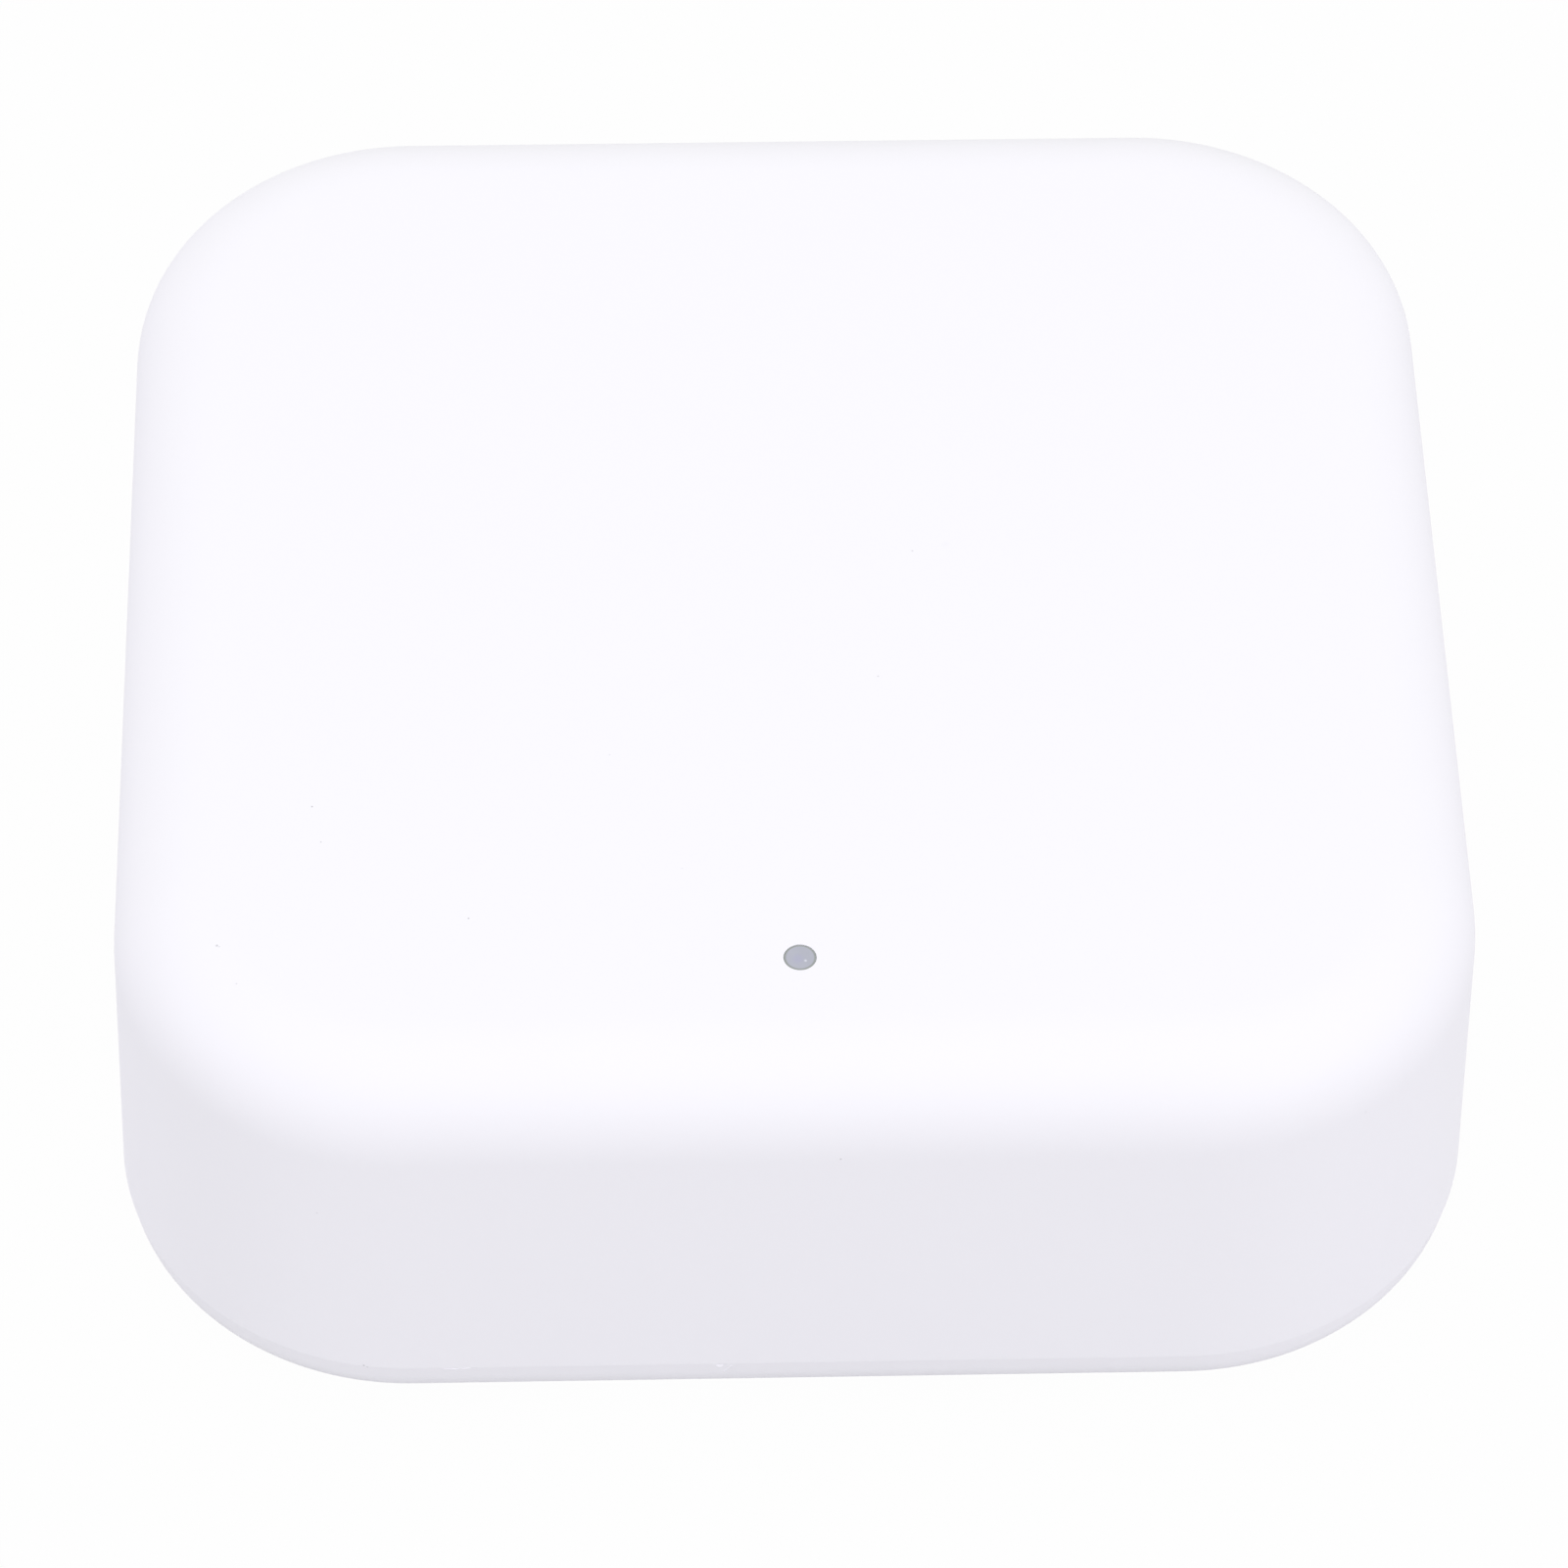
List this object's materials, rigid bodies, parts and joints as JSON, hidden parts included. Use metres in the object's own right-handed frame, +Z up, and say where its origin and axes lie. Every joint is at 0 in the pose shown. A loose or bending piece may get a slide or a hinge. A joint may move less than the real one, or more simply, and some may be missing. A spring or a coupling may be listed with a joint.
{
  "type": "smart home hub",
  "caption": "Low rounded-square white plastic gateway with a small indicator lens near its front edge, a socket pocket and a round key at the back, on rubber feet.",
  "frame": {"origin": "middle of the underside, on the surface that the four feet rest on", "axes": "+X to the right seen from the front, +Y to the back where the socket and the key are, +Z up; the indicator is near the front, on -Y"},
  "size_m": [0.07, 0.07, 0.026],
  "materials": {
    "white_abs": "fine matt moulded texture",
    "key_abs": "fine satin moulded texture",
    "foot_rubber": "soft matt, grey",
    "screw_steel": "zinc plated",
    "clear_plastic": "clear polycarbonate",
    "board_laminate": "glass-epoxy laminate, green solder mask",
    "module_laminate": "glass-epoxy laminate, dark solder mask",
    "shield_steel": "tinned sheet steel",
    "copper_trace": "gold-plated copper",
    "chip_epoxy": "moulded black epoxy",
    "ferrite": "pressed ferrite",
    "white_ceramic": "fired ceramic",
    "capacitor_ceramic": "fired tan ceramic",
    "resistor_film": "glazed black film",
    "solder_tin": "bright tin plating",
    "can_aluminium": "drawn aluminium can",
    "black_plastic": "moulded black plastic",
    "socket_steel": "nickel-plated drawn steel",
    "contact_gold": "gold-plated contacts",
    "lamp_white": "white reflector plastic",
    "lamp_resin": "clear resin",
    "plunger_plastic": "dark grey plastic",
    "crystal_steel": "welded steel can"
  },
  "bodies": {
    "housing": {"top_cover": "white_abs", "base_plate": "white_abs", "foot_front_left": "foot_rubber", "foot_front_right": "foot_rubber", "foot_rear_left": "foot_rubber", "foot_rear_right": "foot_rubber", "case_screws": "screw_steel", "board_screws": "screw_steel", "light_pipe": "clear_plastic", "main_board": "board_laminate", "wifi_board": "module_laminate", "bluetooth_board": "module_laminate", "wifi_shield": "shield_steel", "bluetooth_shield": "shield_steel", "wifi_antenna": "copper_trace", "wifi_chip": "chip_epoxy", "bluetooth_chip": "chip_epoxy", "regulator_body": "chip_epoxy", "memory_chip": "chip_epoxy", "power_inductor": "ferrite", "bluetooth_antenna": "white_ceramic", "chip_capacitors": "capacitor_ceramic", "chip_resistors": "resistor_film", "regulator_leads": "solder_tin", "memory_leads": "solder_tin", "lamp_terminals": "solder_tin", "switch_terminals": "solder_tin", "chip_ends": "solder_tin", "capacitor_can": "can_aluminium", "capacitor_base": "black_plastic", "switch_housing": "black_plastic", "socket_insulator": "black_plastic", "socket_shell": "socket_steel", "switch_frame": "socket_steel", "switch_spring": "socket_steel", "socket_contacts": "contact_gold", "lamp_package": "lamp_white", "lamp_window": "lamp_resin", "crystal": "crystal_steel"},
    "key": {"reset_key": "key_abs"},
    "plunger": {"switch_plunger": "plunger_plastic"}
  },
  "joints": [
    {"name": "reset_key_press", "type": "slide", "parent": "housing", "child": "key", "axis": [0, -1, 0], "range_m": [0, 0.0003], "stiffness_N_per_m": 5200},
    {"name": "switch_plunger_press", "type": "slide", "parent": "housing", "child": "plunger", "axis": [0, -1, 0], "range_m": [0, 0.0003], "deforming": ["switch_spring"]}
  ],
  "couplings": [
    {"joint": "switch_plunger_press", "follows": "reset_key_press", "ratio": 1}
  ]
}
